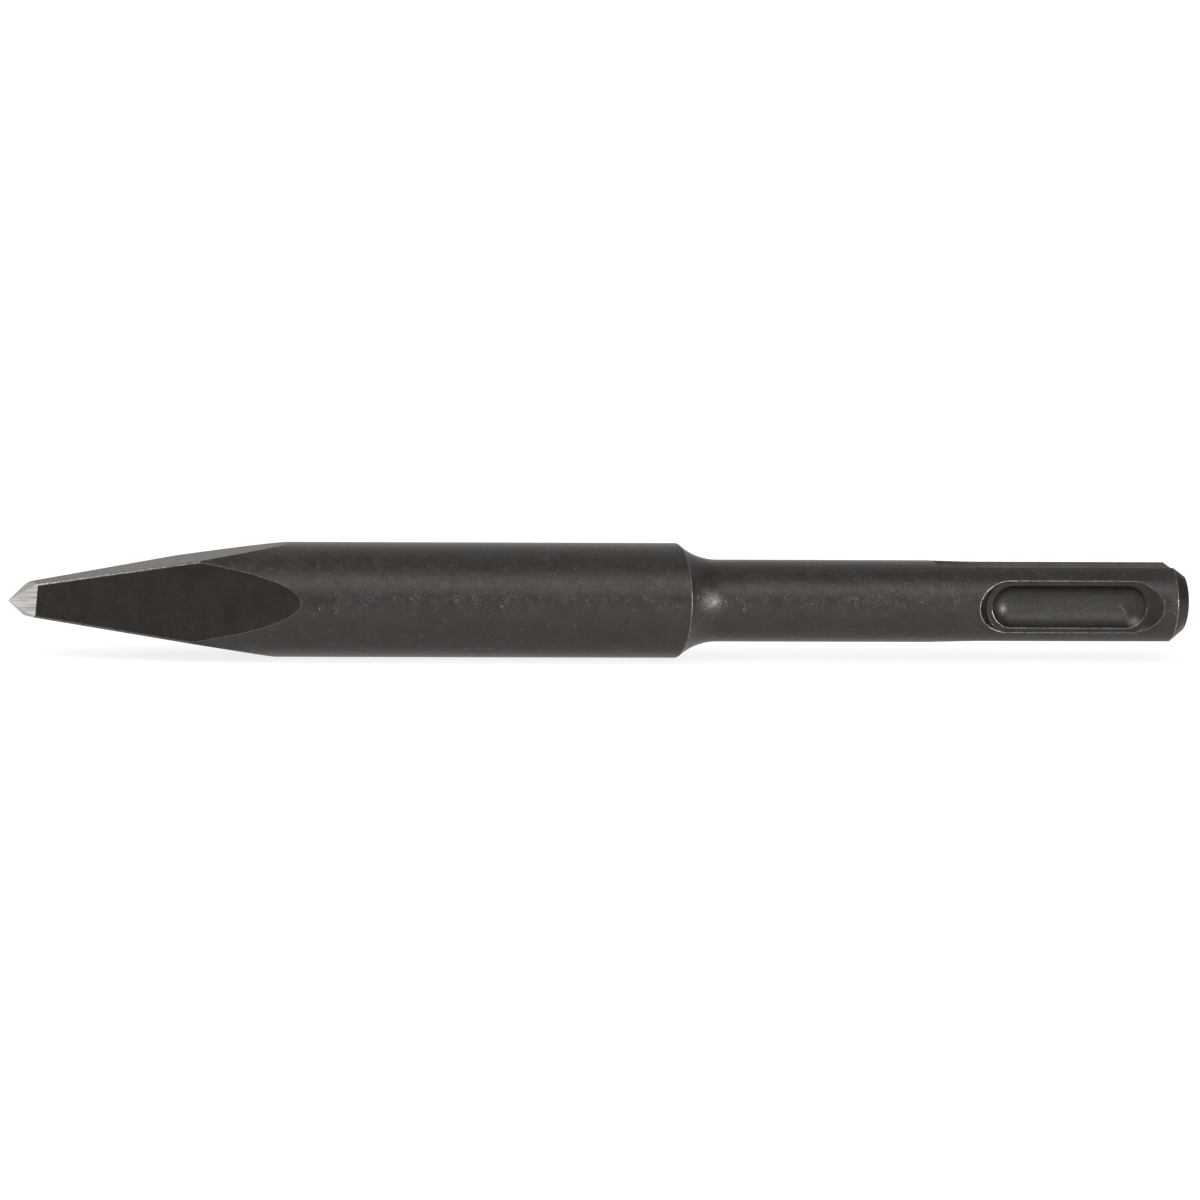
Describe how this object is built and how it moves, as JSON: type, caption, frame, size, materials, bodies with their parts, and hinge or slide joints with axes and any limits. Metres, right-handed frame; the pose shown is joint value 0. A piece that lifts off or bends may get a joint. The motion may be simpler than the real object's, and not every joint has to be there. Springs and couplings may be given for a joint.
{
  "type": "pointed chisel",
  "caption": "Short round-bodied steel chisel with a square tapered point, a ground tip and a grooved drive shank for a rotary hammer.",
  "frame": {"origin": "centre of the flat striking end of the shank, on the bar's axis", "axes": "+X along the bar's axis, out of the striking end, so the point looks along -X; +Y and -Y through the two closed lock grooves; +Z and -Z through the two open drive grooves"},
  "size_m": [0.15, 0.014, 0.014],
  "materials": {
    "forged_steel": "blasted, dark hardened steel with a bright ground tip"
  },
  "bodies": {
    "root": {"pointed_chisel": "forged_steel"}
  },
  "joints": []
}
